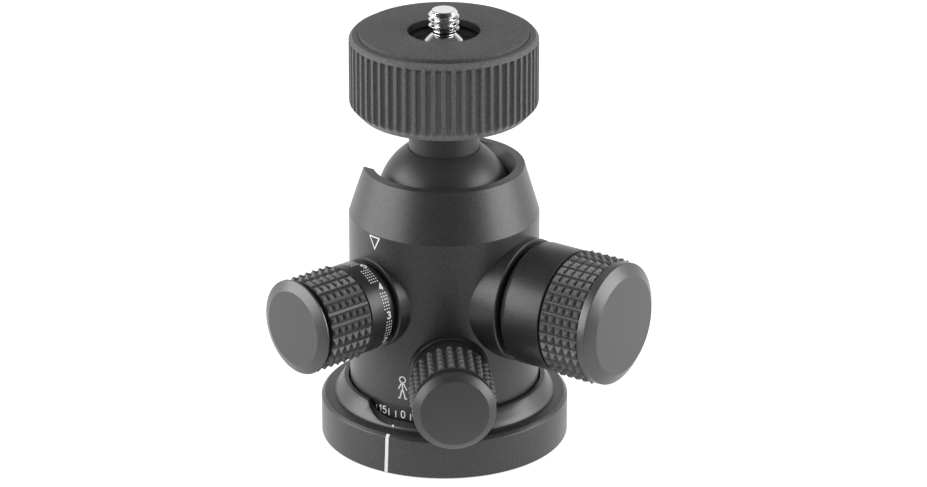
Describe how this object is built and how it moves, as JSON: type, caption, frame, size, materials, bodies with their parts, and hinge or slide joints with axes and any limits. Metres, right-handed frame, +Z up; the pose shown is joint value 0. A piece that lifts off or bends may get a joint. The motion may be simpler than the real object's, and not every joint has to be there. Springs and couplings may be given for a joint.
{
  "type": "tripod ball head",
  "caption": "Compact tripod ball head: panning base with scale, housing with drop notch, three radial knobs, and a ribbed camera platform with a screw.",
  "frame": {"origin": "middle of the base's underside, on the axis of the tripod thread, at the plane that stands on the tripod", "axes": "+Z up along the pan axis and the camera screw, +X along the clamping knob, -X out of the drop notch"},
  "size_m": [0.0695, 0.0664, 0.0922],
  "materials": {
    "black_satin": "satin black anodised aluminium, fine bead-blasted grain",
    "ring_grey": "satin dark grey anodised aluminium, slightly lighter than the housing",
    "cap_grey": "matt grey anodised cap with a turned chamfer",
    "collar_black": "satin black anodised turned surface",
    "grip_rubber": "moulded black rubber with pyramids",
    "pad_rubber": "grainy dark grey rubber pad",
    "platform_black": "matt black ribbed platform",
    "ball_black": "hard anodised dark grey aluminium, semi-matt, on the ball, the neck and the platform's bush",
    "steel": "bright turned steel",
    "chrome": "polished chrome",
    "brass": "turned brass",
    "cup_metal": "bare turned aluminium",
    "polymer": "off-white low-friction polymer"
  },
  "bodies": {
    "base": {"base_disc": "black_satin", "tripod_thread_insert": "steel", "index_ring": "ring_grey", "pan_pivot": "steel", "pan_washer": "polymer", "pan_top_washer": "polymer", "pan_retainer": "steel", "retainer_screw": "steel"},
    "head": {"housing": "black_satin", "scale_drum": "collar_black", "pan_bearing_bush": "brass", "upper_seat_ring": "polymer", "clamp_thread_bush": "brass", "friction_thread_bush": "brass", "pan_lock_thread_bush": "brass"},
    "cup": {"clamp_cup": "cup_metal"},
    "liner": {"ball_liner": "polymer"},
    "ball": {"ball": "ball_black"},
    "neck": {"stem": "ball_black", "camera_screw": "chrome"},
    "platform_nut": {"platform_bush": "ball_black"},
    "platform": {"platform_wheel": "platform_black", "camera_pad": "pad_rubber"},
    "clamp_screw": {"clamp_spindle": "steel"},
    "clamp_knob": {"clamp_knob_collar": "collar_black", "clamp_knob_grip": "grip_rubber", "clamp_knob_cap": "cap_grey"},
    "friction_screw": {"friction_spindle": "steel"},
    "friction_knob": {"friction_knob_core": "collar_black", "friction_scale_ring": "collar_black", "friction_knob_grip": "grip_rubber", "friction_knob_cap": "cap_grey"},
    "pan_lock_screw": {"pan_lock_spindle": "steel"},
    "pan_lock_knob": {"pan_lock_core": "collar_black", "pan_lock_grip": "grip_rubber", "pan_lock_cap": "cap_grey"}
  },
  "joints": [
    {"name": "pan", "type": "hinge", "parent": "base", "child": "head", "pos_m": [0, 0, 0.02], "axis": [0, 0, 1], "continuous": true},
    {"name": "ball_lean", "type": "hinge", "parent": "head", "child": "liner", "pos_m": [0, 0, 0.0512], "axis": [1, 0, 0], "range_deg": [-25, 25]},
    {"name": "ball_swing", "type": "hinge", "parent": "liner", "child": "ball", "pos_m": [0, 0, 0.0512], "axis": [0, -1, 0], "range_deg": [-25, 90]},
    {"name": "neck_spin", "type": "hinge", "parent": "ball", "child": "neck", "pos_m": [0, 0, 0.0512], "axis": [0, 0, 1], "continuous": true},
    {"name": "platform_lift", "type": "slide", "parent": "neck", "child": "platform_nut", "axis": [0, 0, 1], "range_m": [0, 0.001]},
    {"name": "platform_turn", "type": "hinge", "parent": "platform_nut", "child": "platform", "pos_m": [0, 0, 0.08], "axis": [0, 0, 1], "range_deg": [0, 360]},
    {"name": "cup_lift", "type": "slide", "parent": "head", "child": "cup", "axis": [0, 0, 1], "range_m": [0, 0.000201]},
    {"name": "clamp_feed", "type": "slide", "parent": "head", "child": "clamp_screw", "axis": [-1, 0, 0], "range_m": [0, 0.000625]},
    {"name": "clamp_turn", "type": "hinge", "parent": "clamp_screw", "child": "clamp_knob", "pos_m": [0, 0, 0.0339], "axis": [-1, 0, 0], "range_deg": [0, 180]},
    {"name": "friction_feed", "type": "slide", "parent": "head", "child": "friction_screw", "axis": [0.2419, 0.9703, 0], "range_m": [0, 0.0008333]},
    {"name": "friction_turn", "type": "hinge", "parent": "friction_screw", "child": "friction_knob", "pos_m": [0, 0, 0.0339], "axis": [0.2419, 0.9703, 0], "range_deg": [0, 300]},
    {"name": "pan_lock_feed", "type": "slide", "parent": "head", "child": "pan_lock_screw", "axis": [-0.6157, 0.788, 0], "range_m": [0, 0.0004]},
    {"name": "pan_lock_turn", "type": "hinge", "parent": "pan_lock_screw", "child": "pan_lock_knob", "pos_m": [0, 0, 0.0209], "axis": [-0.6157, 0.788, 0], "range_deg": [0, 180]}
  ],
  "couplings": [
    {"joint": "platform_turn", "follows": "platform_lift", "rad_per_m": 6283.2},
    {"joint": "cup_lift", "follows": "clamp_feed", "ratio": 0.32},
    {"joint": "clamp_turn", "follows": "clamp_feed", "rad_per_m": 5026.5},
    {"joint": "friction_turn", "follows": "friction_feed", "rad_per_m": 6283.2},
    {"joint": "pan_lock_turn", "follows": "pan_lock_feed", "rad_per_m": 7854}
  ]
}
